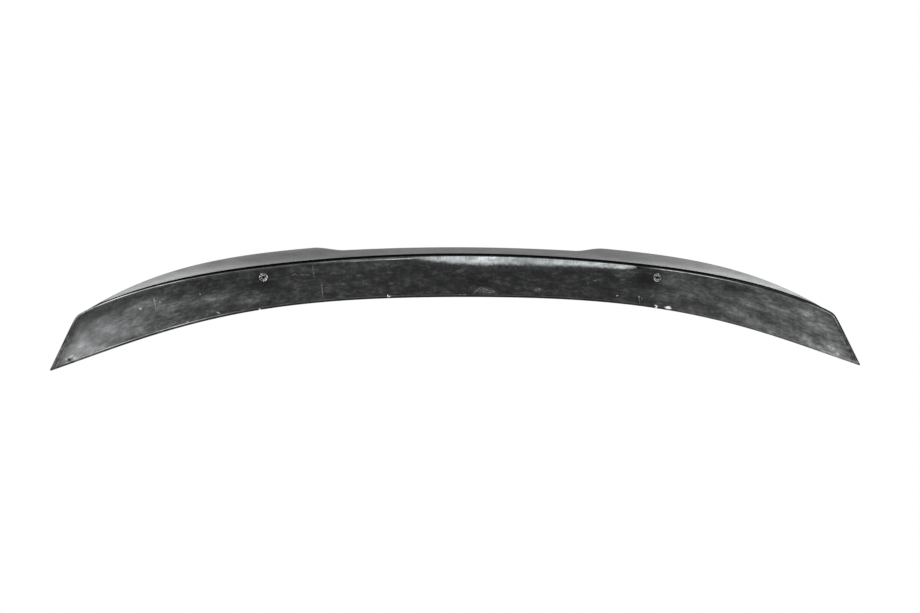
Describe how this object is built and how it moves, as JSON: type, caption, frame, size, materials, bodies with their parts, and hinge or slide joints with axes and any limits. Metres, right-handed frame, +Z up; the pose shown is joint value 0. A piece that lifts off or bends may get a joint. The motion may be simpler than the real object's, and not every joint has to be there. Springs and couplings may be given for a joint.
{
  "type": "car rear spoiler",
  "caption": "Low lip spoiler for a car's boot lid: a swept wedge with a raised trailing lip, stepped shoulders and pointed ends, and threaded inserts in its mounting face.",
  "frame": {"origin": "midway between the two threaded inserts, level with the start of their threads", "axes": "as fitted on the car: +X to the car's right, +Y to the car's front, +Z up; the bolts leave along -Z"},
  "size_m": [1.22, 0.1905, 0.0851],
  "materials": {
    "body": "satin charcoal on the show side, raw black and scuffed on the mounting face",
    "inserts": "bright zinc plate"
  },
  "bodies": {
    "root": {"spoiler_body": "body", "threaded_inserts": "inserts"}
  },
  "joints": []
}
